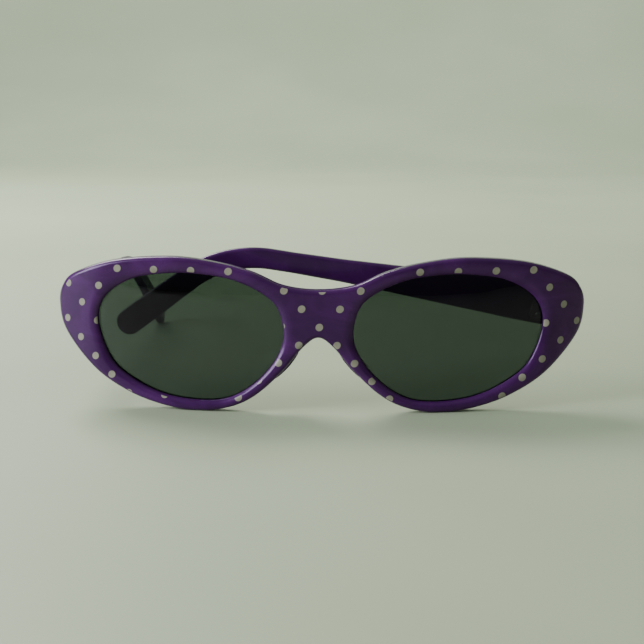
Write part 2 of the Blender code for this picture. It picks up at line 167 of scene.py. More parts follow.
# Temples: (distance from the hinge along the middle line, height, thickness)
TEMPLE_SIZES = (
    (0.0, 12.0, 3.3), (12.0, 11.4, 3.3), (30.0, 9.5, 3.2), (45.0, 7.9, 3.1), (60.0, 6.5, 3.0),
    (74.0, 5.9, 3.0), (88.0, 6.0, 3.0), (104.0, 6.8, 3.0), (120.0, 7.4, 3.0), (132.0, 7.0, 3.0),
)
TEMPLE_INNER = 1.7
TEMPLE_LONG = 127.5
EAR_START = 80.0
EAR_BEND_LONG = 24.0
EAR_ANGLE = math.radians(45.05)
BOW_START = 60.0
BOW_DEPTH = 4.0
ROOT_BLEND = 6.0
ROOT_GAP = 0.35
TEMPLE_STEP = 1.6
TEMPLE_POINTS = 44
TIP_LONG = 3.4
TIP_STEPS = 12
TIP_THIN = 0.5
TIP_LOWER = 0.9
TEMPLE_CORNER = 0.95
ROOT_ROUND = 0.25
ROOT_STEPS = 4

# Dots: steps of the lattice across and up, one dot's middle, and how the columns lean
DOT_RADIUS = 1.0
DOT_EDGE = 0.05
DOT_STEP_X = 5.05
DOT_STEP_Z = 4.86
DOT_MIDDLE = (16.6, 38.1)
DOT_LEAN = 0.08
WING_STRETCH = 0.0097
DOT_FACING = (-0.76, -0.73)

# Camera: where it stands, and the point it looks at
CAMERA_AT = (13.0, -352.0, 90.0)
CAMERA_TO = (1.0, 0.0, 25.0)
CAMERA_LENS = 76.0

# Lamps: place, point each lights, width and height, watts, colour
LAMPS = {
    "key": ((-420.0, 520.0, 640.0), (0.0, 60.0, 20.0), (520.0, 420.0), 9.0, (1.0, 0.98, 0.93)),
    "left_fill": (
        (-1280.0, -440.0, 580.0), (0.0, 0.0, 20.0), (920.0, 800.0), 33.0, (0.95, 0.98, 1.0)
    ),
    "backdrop": (
        (0.0, 700.0, 900.0), (0.0, 1500.0, 300.0), (1600.0, 500.0), 10.0, (0.96, 1.0, 0.93)
    ),
}

# Floor: its half width, the Y places along its flat, its upward bend, top and depth below zero
FLOOR_HALF_WIDE = 2600.0
FLOOR_FLAT = (-2600.0, -400.0, 0.0, 500.0, 900.0)
FLOOR_BEND = 700.0
FLOOR_STEPS = 16
FLOOR_TOP = 3000.0
FLOOR_DROP = 0.02

# World colours
SKY_HORIZON = (0.08, 0.085, 0.078, 1.0)
SKY_ABOVE = (0.44, 0.47, 0.42, 1.0)
SKY_SEEN = (0.33, 0.37, 0.30, 1.0)


# ---------------------------------------------------------------- shared shape code


def smooth_loop(points, steps):
    """A closed curve through the points, with this many steps between each two."""
    found = []
    count = len(points)
    for i in range(count):
        before, here, after, last = (Vector(points[(i + k) % count]) for k in (-1, 0, 1, 2))
        for step in range(steps):
            t = step / steps
            found.append(
                0.5
                * (
                    2 * here
                    + (after - before) * t
                    + (2 * before - 5 * here + 4 * after - last) * t**2
                    + (3 * here - before - 3 * after + last) * t**3
                )
            )
    return found


def outer_outline():
    mirrored = [(-x, z) for x, z in reversed(OUTER_HALF[1:-1])]
    loop = smooth_loop(list(OUTER_HALF) + mirrored, OUTER_STEPS)
    return [Vector((p.x, max(p.y, 0.0))) for p in loop]


def opening_outline(side):
    return [Vector((side * p.x, p.y)) for p in smooth_loop(OPENING, OPENING_STEPS)]


def outward(loop):
    """A unit vector out of the loop at each of its points."""
    area = 0.5 * sum(loop[i - 1].cross(loop[i]) for i in range(len(loop)))
    turn = 1.0 if area > 0 else -1.0
    found = []
    for i in range(len(loop)):
        along = (loop[(i + 1) % len(loop)] - loop[i - 1]).normalized()
        found.append(turn * Vector((along.y, -along.x)))
    return found


def moved_loop(loop, distances):
    """The loop with each point moved outward, by one distance or by one for each point."""
    if isinstance(distances, float):
        distances = [distances] * len(loop)
    return [p + d * n for p, d, n in zip(loop, distances, outward(loop))]


def wrap(x, turn):
    beyond = max(abs(x) - WING_START, 0.0)
    return x * x / (2 * WRAP_RADIUS) + turn * beyond**2


def front_face_y(x):
    return wrap(x, WING_TURN_FRONT)


def back_face_y(x):
    return FRONT_THICK + wrap(x, WING_TURN_BACK)


def inside(points, loop):
    """Which of the points (an array) are in a loop, counting the edges to their right."""
    hit = np.zeros(len(points), bool)
    for i in range(len(loop)):
        a, b = loop[i - 1], loop[i]
        if a.y == b.y:
            continue
        crosses = (a.y > points[:, 1]) != (b.y > points[:, 1])
        reach = a.x + (points[:, 1] - a.y) / (b.y - a.y) * (b.x - a.x)
        hit ^= crosses & (points[:, 0] < reach)
    return hit


def distance_to(points, loop):
    corners = np.array([tuple(p) for p in loop])
    gaps = np.linalg.norm(points[:, None, :] - corners[None, :, :], axis=2)
    return gaps.min(axis=1)


def strip(bm, first, second):
    for i in range(len(first)):
        bm.faces.new((first[i - 1], first[i], second[i], second[i - 1]))


def fill_between(bm, outer, holes, depth):
    """Triangles between a ring of vertices and the rings inside it, on the surface y = depth(x)."""
    rings = [outer] + holes
    loops = [[Vector((v.co.x, v.co.z)) for v in ring] for ring in rings]
    known = [vert for ring in rings for vert in ring]
    flat = [point for loop in loops for point in loop]
    edges = []
    start = 0
    for loop in loops:
        edges += [(start + i, start + (i + 1) % len(loop)) for i in range(len(loop))]
        start += len(loop)
    wide = max(p.x for p in loops[0])
    high = max(p.y for p in loops[0])
    row_step = FILL_STEP * math.sqrt(0.75)
    grid = []
    for j in range(int(high / row_step) + 1):
        count = int(wide / FILL_STEP) + 1
        shift = 0.5 * (j % 2)
        grid += [((i + shift) * FILL_STEP, j * row_step) for i in range(-count - 1, count + 1)]
    grid = np.array(grid)
    keep = inside(grid, loops[0])
    for loop in loops[1:]:
        keep &= ~inside(grid, loop)
    for loop in loops:
        keep &= distance_to(grid, loop) > FILL_CLEAR
    for x, z in grid[keep].tolist():
        known.append(bm.verts.new((x, depth(x), z)))
        flat.append(Vector((x, z)))
    points, _, faces, origins, _, _ = geometry.delaunay_2d_cdt(flat, edges, [], 0, 1e-6)
    middles = np.array([[sum(points[i][k] for i in face) / 3 for k in (0, 1)] for face in faces])
    good = inside(middles, loops[0])
    for loop in loops[1:]:
        good &= ~inside(middles, loop)
    for face, wanted in zip(faces, good):
        if wanted:
            bm.faces.new([known[origins[i][0]] for i in face])


def add_object(name, bm, smooth_angle=35.0):
    """An object of the bmesh, which is in mm with Y from the front's foremost point."""
    bmesh.ops.recalc_face_normals(bm, faces=bm.faces)
    for vert in bm.verts:
        vert.co = (vert.co + Vector((0.0, FRONT_Y, 0.0))) * MM
    mesh = bpy.data.meshes.new(name)
    bm.to_mesh(mesh)
    bm.free()
    made = bpy.data.objects.new(name, mesh)
    bpy.context.scene.collection.objects.link(made)
    if smooth_angle:
        mesh.shade_smooth()
        mesh.set_sharp_from_angle(angle=math.radians(smooth_angle))
    return made


def carve(target, cutters):
    """Cuts the shapes out of the target, applies that, and removes them."""
    for cutter in cutters:
        step = target.modifiers.new("cut", "BOOLEAN")
        step.operation = "DIFFERENCE"
        step.solver = "EXACT"
        step.object = cutter
    graph = bpy.context.evaluated_depsgraph_get()
    carved = bpy.data.meshes.new_from_object(target.evaluated_get(graph))
    target.modifiers.clear()
    target.data = carved
    for cutter in cutters:
        bpy.data.objects.remove(cutter)


def soften_edges(target, width):
    step = target.modifiers.new("edges", "BEVEL")
    step.width = width * MM
    step.segments = EDGE_SEGMENTS
    step.limit_method = "ANGLE"
    step.angle_limit = EDGE_SHARP
    step.harden_normals = True


# ---------------------------------------------------------------- front, lenses and pads


def ring_at(bm, loop, depth):
    return [bm.verts.new((p.x, depth(p.x), p.y)) for p in loop]


def rounded_rings(bm, outline, radius, face_y, back):
    """Rings of a rounded edge, from the face's flat out to the edge's wall."""
    rings = []
    for step in range(ROUND_STEPS + 1):
        angle = math.pi / 2 * step / ROUND_STEPS
        inset = radius * (1.0 - math.sin(angle)) + FRONT_INSIDE
        behind = radius * (1.0 - math.cos(angle)) * (-1.0 if back else 1.0)
        loop = moved_loop(outline, -inset)
        rings.append(ring_at(bm, loop, lambda x, d=behind: face_y(x) + d))
    return rings


def front_bmesh():
    bm = bmesh.new()
    outline = outer_outline()
    front_rings = rounded_rings(bm, outline, EDGE_ROUND_FRONT, front_face_y, False)
    back_rings = rounded_rings(bm, outline, EDGE_ROUND_BACK, back_face_y, True)
    rings = front_rings + back_rings[::-1]
    for first, second in zip(rings, rings[1:]):
        strip(bm, first, second)
    front_holes = []
    back_holes = []
    for side in (1, -1):
        opening = opening_outline(side)
        rim = distance_to(np.array([tuple(p) for p in opening]), outline)
        roll_wide = np.minimum(ROLL_WIDE, ROLL_SHARE * rim)
        roll = []
        for step in range(ROLL_STEPS + 1):
            angle = math.pi / 2 * step / ROLL_STEPS
            loop = moved_loop(opening, (roll_wide * (1.0 - math.sin(angle))).tolist())
            behind = ROLL_DEEP * (1.0 - math.cos(angle))
            roll.append(ring_at(bm, loop, lambda x, d=behind: front_face_y(x) + d))
        inner = []
        for out, behind in ((0.0, LIP_END), (GROOVE_OUT, LIP_END), (GROOVE_OUT, GROOVE_BACK),
                            (0.0, GROOVE_BACK)):
            loop = moved_loop(opening, out)
            inner.append(ring_at(bm, loop, lambda x, d=behind: front_face_y(x) + d))
        for step in range(ROUND_STEPS + 1):
            angle = math.pi / 2 * step / ROUND_STEPS
            loop = moved_loop(opening, INNER_ROUND_BACK * (1.0 - math.cos(angle)))
            before = INNER_ROUND_BACK * (1.0 - math.sin(angle))
            inner.append(ring_at(bm, loop, lambda x, d=before: back_face_y(x) - d))
        rings = roll + inner
        for first, second in zip(rings, rings[1:]):
            strip(bm, first, second)
        front_holes.append(rings[0])
        back_holes.append(rings[-1])
    fill_between(bm, front_rings[0], front_holes, front_face_y)
    fill_between(bm, back_rings[0], back_holes, back_face_y)
    return bm


def lens_bmesh(side):
    bm = bmesh.new()
    edge = moved_loop(opening_outline(side), LENS_IN_GROOVE)
    middle = Vector((side * LENS_MIDDLE[0], LENS_MIDDLE[1]))
    sheets = []
    for behind in (LENS_FACE, LENS_FACE + LENS_THICK):
        centre = bm.verts.new((middle.x, front_face_y(middle.x) + behind - LENS_BULGE, middle.y))
        rings = []
        for step in range(1, LENS_RINGS + 1):
            part = step / LENS_RINGS
            bulge = LENS_BULGE * (1.0 - part**2)
            loop = [middle + part * (p - middle) for p in edge]
            rings.append(ring_at(bm, loop, lambda x, d=behind - bulge: front_face_y(x) + d))
        for i in range(len(edge)):
            bm.faces.new((centre, rings[0][i - 1], rings[0][i]))
        for first, second in zip(rings, rings[1:]):
            strip(bm, first, second)
        sheets.append(rings[-1])
    strip(bm, *sheets)
    return bm


def pad_bmesh(side):
    bm = bmesh.new()
    rings = []
    for step in range(PAD_RINGS):
        angle = math.pi / 2 * step / PAD_RINGS
        height = PAD_BASE + (PAD_HIGH - PAD_BASE) * math.sin(angle) ** PAD_CROWN
        part = math.cos(angle) ** PAD_SIDES
        ring = []
        for i in range(PAD_POINTS):
            turn = 2 * math.pi * i / PAD_POINTS
            along = PAD_HALF_LONG * part * math.cos(turn)
            across = PAD_HALF_WIDE * part * math.sin(turn)
            x = PAD_MIDDLE[0] + along * math.cos(PAD_SLOPE) - across * math.sin(PAD_SLOPE)
            z = PAD_MIDDLE[1] + along * math.sin(PAD_SLOPE) + across * math.cos(PAD_SLOPE)
            ring.append(bm.verts.new((side * (x + PAD_LEAN * height), back_face_y(x) + height, z)))
        rings.append(ring)
    for first, second in zip(rings, rings[1:]):
        strip(bm, first, second)
    bm.faces.new(rings[0])
    bm.faces.new(rings[-1])
    return bm


# ---------------------------------------------------------------- hinge frames


class HingeFrame:
    """Places (u, w, h) on one side's hinge: along the temple, outward, and up the axis."""

    def __init__(self, side, pin_m, folded):
        self.pin = Vector(pin_m) / MM - Vector((0.0, FRONT_Y, 0.0))
        self.up = Vector((side * math.sin(AXIS_LEAN), 0.0, math.cos(AXIS_LEAN)))
        self.across = Vector((side * math.cos(AXIS_LEAN), 0.0, -math.sin(AXIS_LEAN)))
        self.back = Vector((0.0, 1.0, 0.0))
        self.along, self.outward = self.back, self.across
        if folded:
            self.along, self.outward = -self.across, self.back

    def temple_point(self, u, w, h):
        return self.pin + u * self.along + w * self.outward + h * self.up

    def front_point(self, x, y, h):
        """A point beside the pin given by its x and y at the pin's height."""
        return self.pin + (x - AXIS_X) * self.across + (y - self.pin.y) * self.back + h * self.up


def barrel_levels():
    tall = (2 * BARREL_HALF_HIGH - (BARREL_COUNT - 1) * BARREL_GAP) / BARREL_COUNT
    levels = []
    for i in range(BARREL_COUNT):
        low = -BARREL_HALF_HIGH + i * (tall + BARREL_GAP)
        levels += [low, low + tall]
    return levels


def leaf_bmesh(plate, circle_middle, start, end, barrels, place):
    """A hinge leaf: a plate whose first edge carries barrels around the pin."""
    bm = bmesh.new()
    levels = barrel_levels()
    middle = Vector(circle_middle)
    corners = [Vector(corner) for corner in plate]
    columns = [[bm.verts.new(place(c.x, c.y, h)) for c in corners] for h in levels]
    angles = [start + (end - start) * i / (ARC_POINTS - 1) for i in range(ARC_POINTS)]
    arc = [middle + BARREL_RADIUS * Vector((math.cos(a), math.sin(a))) for a in angles]
    outer = [corners[0]] + arc + [corners[1]]
    bore = [middle + BORE_RADIUS * (p - middle).normalized() for p in outer]
    for k in range(len(levels) - 1):
        low, high = columns[k], columns[k + 1]
        for i in range(1, len(corners)):
            j = (i + 1) % len(corners)
            bm.faces.new((low[i], low[j], high[j], high[i]))
        if k // 2 not in barrels or k % 2:
            bm.faces.new((low[0], low[1], high[1], high[0]))
            continue
        rings = []
        for level, column in ((levels[k], low), (levels[k + 1], high)):
            edge = [column[0]] + [bm.verts.new(place(p.x, p.y, level)) for p in arc]
            edge.append(column[1])
            rings.append((edge, [bm.verts.new(place(p.x, p.y, level)) for p in bore]))
        (low_edge, low_bore), (high_edge, high_bore) = rings
        strip(bm, low_bore, high_bore)
        strip(bm, low_edge, low_bore)
        strip(bm, high_edge, high_bore)
        for i in range(1, len(low_edge)):
            bm.faces.new((low_edge[i - 1], low_edge[i], high_edge[i], high_edge[i - 1]))
    bm.faces.new(columns[0])
    bm.faces.new(columns[-1])
    return bm


def box_bmesh(corners, low, high, place):
    bm = bmesh.new()
    rings = [[bm.verts.new(place(p, q, h)) for p, q in corners] for h in (low, high)]
    strip(bm, *rings)
    bm.faces.new(rings[0])
    bm.faces.new(rings[1])
    return bm


def turned_bmesh(profile, base, axis):
    """A solid of revolution of (radius, distance along the axis) steps."""
    bm = bmesh.new()
    axis = axis.normalized()
    side = axis.orthogonal().normalized()
    other = axis.cross(side)
    rings = []
    for radius, along in profile:
        ring = []
        for i in range(ROUND_POINTS):
            angle = 2 * math.pi * i / ROUND_POINTS
            out = radius * (math.cos(angle) * side + math.sin(angle) * other)
            ring.append(bm.verts.new(base + along * axis + out))
        rings.append(ring)
    for first, second in zip(rings, rings[1:]):
        strip(bm, first, second)
    bm.faces.new(rings[0])
    bm.faces.new(rings[-1])
    return bm


def wing_leaf_lines():
    """The wing leaf's plate and its pocket, as (x, y) corners at the pin's height."""
    inner = Vector((LEAF_INNER_X, back_face_y(LEAF_INNER_X)))
    end = Vector((LEAF_END_X, back_face_y(LEAF_END_X)))
    along = (end - inner).normalized()
    out = Vector((-along.y, along.x))
    plate = (
        end - LEAF_SINK * out, end + LEAF_PROUD * out,
        inner + LEAF_PROUD * out, inner - LEAF_SINK * out,
    )
    grown_inner = inner - POCKET_GAP * along
    grown_end = end + POCKET_BEYOND_LEAF * along
    deep = LEAF_SINK + POCKET_GAP
    pocket = (
        grown_end - deep * out, grown_end + CUT_BEYOND * out,
        grown_inner + CUT_BEYOND * out, grown_inner - deep * out,
    )
    return plate, pocket, out


# ---------------------------------------------------------------- temples


def middle_line(distance):
    """The temple's middle line at a distance along it: (u, h) and its slope."""
    if distance <= EAR_START:
        return Vector((distance, 0.0)), 0.0
    bend = min(distance - EAR_START, EAR_BEND_LONG)
    rate = EAR_ANGLE / EAR_BEND_LONG
    slope = bend * rate
    place = Vector((EAR_START + math.sin(slope) / rate, -(1.0 - math.cos(slope)) / rate))
    rest = max(distance - EAR_START - EAR_BEND_LONG, 0.0)
    return place + rest * Vector((math.cos(slope), -math.sin(slope))), slope


def temple_size(distance):
    places, highs, thicks = zip(*TEMPLE_SIZES)
    return float(np.interp(distance, places, highs)), float(np.interp(distance, places, thicks))


def bow(u):
    return -BOW_DEPTH * (max(u - BOW_START, 0.0) / (TEMPLE_LONG - BOW_START)) ** 2


def root_end(w, h):
    """How far along the temple its end face is, so that it meets the wing when open."""
    x = AXIS_X + w * math.cos(AXIS_LEAN) + h * math.sin(AXIS_LEAN)
    return back_face_y(x) + ROOT_GAP - back_face_y(AXIS_X) - AXIS_BEHIND_WING


def rounded_rectangle(half_wide, half_high, corner):
    """Points round a rectangle with rounded corners, with more of them in the corners."""
    corner = min(corner, half_wide, half_high)
    per_corner = TEMPLE_POINTS // 4
    found = []
    for quarter in range(4):
        sx = (1, -1, -1, 1)[quarter]
        sy = (1, 1, -1, -1)[quarter]
        for i in range(per_corner):
            angle = math.pi / 2 * (quarter + i / (per_corner - 1))
            x = sx * (half_wide - corner) + corner * math.cos(angle)
            y = sy * (half_high - corner) + corner * math.sin(angle)
            found.append((x, y))
    return found


def section(bm, hinge, distance, shape, middle_w):
    """One ring of a shape, square to the temple's middle line."""
    place, slope = middle_line(distance)
    ring = []
    for w, h in shape:
        u_here = place.x + h * math.sin(slope)
        h_here = place.y + h * math.cos(slope)
        w_here = middle_w + w + bow(u_here)
        if distance < ROOT_BLEND:
            u_here += root_end(w_here, h_here) * (1.0 - distance / ROOT_BLEND)
        ring.append(bm.verts.new(hinge.temple_point(u_here, w_here, h_here)))
    return ring


def temple_bmesh(hinge):
    bm = bmesh.new()
    middle_w = TEMPLE_INNER + TEMPLE_SIZES[0][2] / 2
    body_end = TEMPLE_LONG - TIP_LONG
    count = round(body_end / TEMPLE_STEP)
    rings = []
    for step in range(ROOT_STEPS + 1):
        angle = math.pi / 2 * step / ROOT_STEPS
        inset = ROOT_ROUND * (1.0 - math.sin(angle)) + TEMPLE_INSIDE
        high, thick = temple_size(0.0)
        shape = rounded_rectangle(thick / 2 - inset, high / 2 - inset, TEMPLE_CORNER)
        rings.append(section(bm, hinge, ROOT_ROUND * (1.0 - math.cos(angle)), shape, middle_w))
    for i in range(1, count + 1):
        distance = body_end * i / count
        high, thick = temple_size(distance)
        half_thick, half_high = thick / 2 - TEMPLE_INSIDE, high / 2 - TEMPLE_INSIDE
        shape = rounded_rectangle(half_thick, half_high, TEMPLE_CORNER)
        rings.append(section(bm, hinge, distance, shape, middle_w))
    for step in range(1, TIP_STEPS + 1):
        angle = math.pi / 2 * step / (TIP_STEPS + 0.5)
        distance = body_end + (TIP_LONG - TEMPLE_INSIDE) * math.sin(angle)
        high, thick = temple_size(distance)
        half_thick = (thick / 2 - TEMPLE_INSIDE) * math.cos(angle) ** TIP_THIN
        half_high = (high / 2 - TEMPLE_INSIDE) * math.cos(angle) ** TIP_LOWER
        shape = rounded_rectangle(half_thick, half_high, TEMPLE_CORNER)
        rings.append(section(bm, hinge, distance, shape, middle_w))
    for first, second in zip(rings, rings[1:]):
        strip(bm, first, second)
    bm.faces.new(rings[0])
    bm.faces.new(rings[-1])
    return bm


# ---------------------------------------------------------------- materials


class Graph:
    """A material's nodes: each call adds one node and gives its output."""

    def __init__(self, name):
        self.material = bpy.data.materials.new(name)
        self.material.use_nodes = True
        self.nodes = self.material.node_tree.nodes
        self.links = self.material.node_tree.links
        self.shader = self.nodes["Principled BSDF"]
        self.output = self.nodes["Material Output"]

    def feed(self, socket, value):
        if hasattr(value, "is_linked"):
            self.links.new(value, socket)
        else:
            socket.default_value = value

    def math(self, operation, *values):
        node = self.nodes.new("ShaderNodeMath")
        node.operation = operation
        for socket, value in zip(node.inputs, values):
            self.feed(socket, value)
        return node.outputs[0]

    def noise(self, place, scale, detail=4.0, roughness=0.5, distortion=0.0):
        node = self.nodes.new("ShaderNodeTexNoise")
        self.feed(node.inputs["Vector"], place)
        for word, value in (("Scale", scale), ("Detail", detail), ("Roughness", roughness),
                            ("Distortion", distortion)):
            node.inputs[word].default_value = value
        return node.outputs["Fac"]

    def place(self, scale=(1.0, 1.0, 1.0), turn=(0.0, 0.0, 0.0)):
        coordinates = self.nodes.new("ShaderNodeTexCoord")
        node = self.nodes.new("ShaderNodeMapping")
        self.links.new(coordinates.outputs["Object"], node.inputs["Vector"])
        node.inputs["Scale"].default_value = scale
        node.inputs["Rotation"].default_value = turn
        return node.outputs["Vector"]

    def split(self, vector):
        node = self.nodes.new("ShaderNodeSeparateXYZ")
        self.links.new(vector, node.inputs[0])
        return node.outputs

    def normal(self):
        return self.nodes.new("ShaderNodeNewGeometry").outputs["Normal"]

    def spread(self, value, low, high, to_low, to_high, smooth=False):
        node = self.nodes.new("ShaderNodeMapRange")
        node.interpolation_type = "SMOOTHSTEP" if smooth else "LINEAR"
        for socket, given in zip(node.inputs, (value, low, high, to_low, to_high)):
            self.feed(socket, given)
        return node.outputs[0]

    def mix(self, share, first, second):
        node = self.nodes.new("ShaderNodeMix")
        node.data_type = "RGBA"
        self.feed(node.inputs[0], share)
        for socket, color in ((node.inputs[6], first), (node.inputs[7], second)):
            self.feed(socket, (*color, 1.0) if isinstance(color, tuple) else color)
        return node.outputs[2]

    def bump(self, height, strength, distance):
        node = self.nodes.new("ShaderNodeBump")
        self.feed(node.inputs["Height"], height)
        node.inputs["Strength"].default_value = strength
        node.inputs["Distance"].default_value = distance
        return node.outputs["Normal"]

    def set(self, **values):
        for word, value in values.items():
            self.feed(self.shader.inputs[word.replace("_", " ")], value)


# Colours
PURPLE = (0.064, 0.0112, 0.102)
PURPLE_DEEP = (0.037, 0.0064, 0.060)
PURPLE_LIGHT = (0.094, 0.018, 0.142)
VIOLET_GLOSS = (0.80, 0.62, 1.0, 1.0)
CREAM = (0.31, 0.295, 0.235)
CREAM_SHADE = (0.26, 0.245, 0.195)
LENS_GREEN = (0.050, 0.071, 0.059)
LENS_PALE = (0.058, 0.080, 0.067)
LENS_GLOSS = (0.55, 0.46, 0.64, 1.0)
LENS_SHADOW = (0.11, 0.15, 0.12, 1.0)
FLOOR_GREEN = (0.365, 0.43, 0.30)
FLOOR_PALE = (0.405, 0.47, 0.34)

# Metals: colour, duller colour, roughness, and how the brushed lines are squeezed along X, Y, Z
METALS = {
    "hinge": ("nickel_silver", (0.62, 0.60, 0.55), (0.50, 0.47, 0.41), 0.26, (1.0, 1.0, 14.0)),
    "screw": ("screw_steel", (0.52, 0.52, 0.52), (0.42, 0.41, 0.40), 0.24, (6.0, 6.0, 1.0)),
    "rivet": ("rivet_metal", (0.60, 0.58, 0.53), (0.48, 0.45, 0.40), 0.30, (5.0, 5.0, 5.0)),
    "wire": ("core_wire", (0.50, 0.50, 0.51), (0.40, 0.40, 0.41), 0.32, (1.0, 12.0, 12.0)),
}

# Noise scales, as features in a metre
CLOUDS = 55.0
GRAIN = 900.0
RUB_ALONG = 900.0
RUB_ACROSS = 1100.0
WIPES = 120.0
BRUSH_LINES = 2200.0
DULL_PATCHES = 500.0
PITS = 4200.0
FLOOR_CLOUDS = 6.0
FLOOR_GRAIN = 300.0

# Roughness: lowest and highest, or what a mark adds
ACETATE_ROUGH = (0.19, 0.27)
RUBBED_ROUGHER = 0.10
DOTS_ROUGHER = 0.12
LENS_ROUGH = (0.006, 0.022)
FLOOR_ROUGH = 0.55


def dot_mask(graph):
    """1 in the dots and 0 between them, over the front's forward surface."""
    x, _, z = graph.split(graph.place((1000.0, 1000.0, 1000.0)))
    past = graph.math("SUBTRACT", graph.math("ABSOLUTE", x), WING_START)
    beyond = graph.math("MAXIMUM", past, 0.0)
    stretch = graph.math("MULTIPLY", graph.math("MULTIPLY", beyond, beyond), WING_STRETCH)
    along = graph.math("ADD", x, graph.math("MULTIPLY", graph.math("SIGN", x), stretch))
    down = graph.math("SUBTRACT", DOT_MIDDLE[1], z)
    lean = graph.math("MULTIPLY", down, DOT_LEAN)
    across = graph.math("SUBTRACT", graph.math("ADD", along, lean), DOT_MIDDLE[0])
    column = graph.math("DIVIDE", across, 2 * DOT_STEP_X)
    row = graph.math("DIVIDE", down, 2 * DOT_STEP_Z)
    first = graph.math("ADD", column, row)
    second = graph.math("SUBTRACT", column, row)
    first_left = graph.math("SUBTRACT", first, graph.math("ROUND", first))
    second_left = graph.math("SUBTRACT", second, graph.math("ROUND", second))
    off_x = graph.math("MULTIPLY", graph.math("ADD", first_left, second_left), DOT_STEP_X)
    off_z = graph.math("MULTIPLY", graph.math("SUBTRACT", first_left, second_left), DOT_STEP_Z)
    squares = graph.math("ADD", graph.math("POWER", off_x, 2.0), graph.math("POWER", off_z, 2.0))
    distance = graph.math("SQRT", squares)
    dots = graph.spread(distance, DOT_RADIUS - DOT_EDGE, DOT_RADIUS + DOT_EDGE, 1.0, 0.0, True)
    forward = graph.spread(graph.split(graph.normal())[1], *DOT_FACING, 1.0, 0.0)
    return graph.math("MULTIPLY", dots, forward)


def acetate(name, dotted):
    """Polished deep purple acetate: cloudy colour, fine rubbing marks, and dots laid in."""
    graph = Graph(name)
    cloud = graph.noise(graph.place((1.0, 0.6, 1.4)), CLOUDS, 5.0, 0.55, 1.2)
    grain = graph.noise(graph.place(), GRAIN, 3.0, 0.6)
    base = graph.mix(graph.spread(cloud, 0.3, 0.7, 0.0, 1.0, True), PURPLE_DEEP, PURPLE)
    base = graph.mix(graph.spread(cloud, 0.62, 0.8, 0.0, 0.6, True), base, PURPLE_LIGHT)
    color = base
    marks = graph.noise(graph.place((9.0, 1.0, 1.0), (0.0, 0.5, 0.3)), RUB_ALONG, 4.0, 0.65)
    cross = graph.noise(graph.place((1.0, 1.0, 8.0), (0.0, -0.6, 0.2)), RUB_ACROSS, 4.0, 0.65)
    rubbed = graph.math("MAXIMUM", graph.spread(marks, 0.6, 0.75, 0.0, 1.0),
                        graph.spread(cross, 0.62, 0.78, 0.0, 1.0))
    rough = graph.spread(cloud, 0.3, 0.7, *ACETATE_ROUGH)
    rough = graph.math("ADD", rough, graph.math("MULTIPLY", rubbed, RUBBED_ROUGHER))
    raised = graph.math("MULTIPLY", grain, 0.4)
    height = graph.math("ADD", raised, graph.math("MULTIPLY", rubbed, -0.5))
    if dotted:
        dots = dot_mask(graph)
        cream = graph.mix(graph.spread(grain, 0.35, 0.7, 0.0, 1.0), CREAM, CREAM_SHADE)
        color = graph.mix(dots, base, cream)
        rough = graph.math("ADD", rough, graph.math("MULTIPLY", dots, DOTS_ROUGHER))
    graph.set(Base_Color=color, Roughness=rough, Normal=graph.bump(height, 0.10, 0.00003),
              IOR=1.49, Specular_IOR_Level=0.42, Specular_Tint=VIOLET_GLOSS)
    return graph.material


def tinted_lens(name):
    """A grey-green tint that shows what is behind it, with faint wipe marks."""
    graph = Graph(name)
    wipe = graph.noise(graph.place((1.0, 1.0, 5.0), (0.0, 0.7, 0.0)), WIPES, 5.0, 0.6, 0.6)
    rough = graph.spread(wipe, 0.35, 0.75, *LENS_ROUGH)
    tint = graph.mix(graph.spread(wipe, 0.3, 0.7, 0.0, 1.0), LENS_GREEN, LENS_PALE)
    graph.set(Base_Color=tint, Roughness=rough, Transmission_Weight=1.0, IOR=1.5,
              Specular_Tint=LENS_GLOSS)
    lets_lamps_through = graph.nodes.new("ShaderNodeLightPath").outputs["Is Shadow Ray"]
    clear = graph.nodes.new("ShaderNodeBsdfTransparent")
    clear.inputs["Color"].default_value = LENS_SHADOW
    blend = graph.nodes.new("ShaderNodeMixShader")
    graph.links.new(lets_lamps_through, blend.inputs[0])
    graph.links.new(graph.shader.outputs[0], blend.inputs[1])
    graph.links.new(clear.outputs[0], blend.inputs[2])
    graph.links.new(blend.outputs[0], graph.output.inputs["Surface"])
    return graph.material


def metal(name, color, shade, rough, brushed):
    """Nickel silver or steel: brushed or turned lines, small pits and duller patches."""
    graph = Graph(name)
    lines = graph.noise(graph.place(brushed), BRUSH_LINES, 4.0, 0.6)
    patch = graph.noise(graph.place(), DULL_PATCHES, 4.0, 0.6)
    pits = graph.noise(graph.place(), PITS, 2.0, 0.5)
    base = graph.mix(graph.spread(patch, 0.35, 0.7, 0.0, 1.0, True), color, shade)
    roughness = graph.math("ADD", graph.spread(lines, 0.3, 0.7, rough - 0.05, rough + 0.1),
                           graph.spread(patch, 0.45, 0.7, 0.0, 0.08))
    height = graph.math("SUBTRACT", lines, graph.spread(pits, 0.68, 0.78, 0.0, 0.8))
    graph.set(Base_Color=base, Roughness=roughness, Metallic=1.0,
              Normal=graph.bump(height, 0.25, 0.00002))
    return graph.material


def floor_material():
    graph = Graph("pale_floor")
    soft = graph.noise(graph.place(), FLOOR_CLOUDS, 3.0, 0.5)
    fine = graph.noise(graph.place(), FLOOR_GRAIN, 4.0, 0.6)
    color = graph.mix(graph.spread(soft, 0.3, 0.7, 0.0, 1.0), FLOOR_GREEN, FLOOR_PALE)
    graph.set(Base_Color=color, Roughness=FLOOR_ROUGH, Normal=graph.bump(fine, 0.03, 0.0002))
    return graph.material


def give(made, material, slot, body, *nodes):
    """Finishes a piece: its material, its body and the nodes it stands for. The slot argument is
    not used.
    """
    made.data.materials.clear()
    made.data.materials.append(material)
    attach(made, body)
    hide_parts(*nodes)


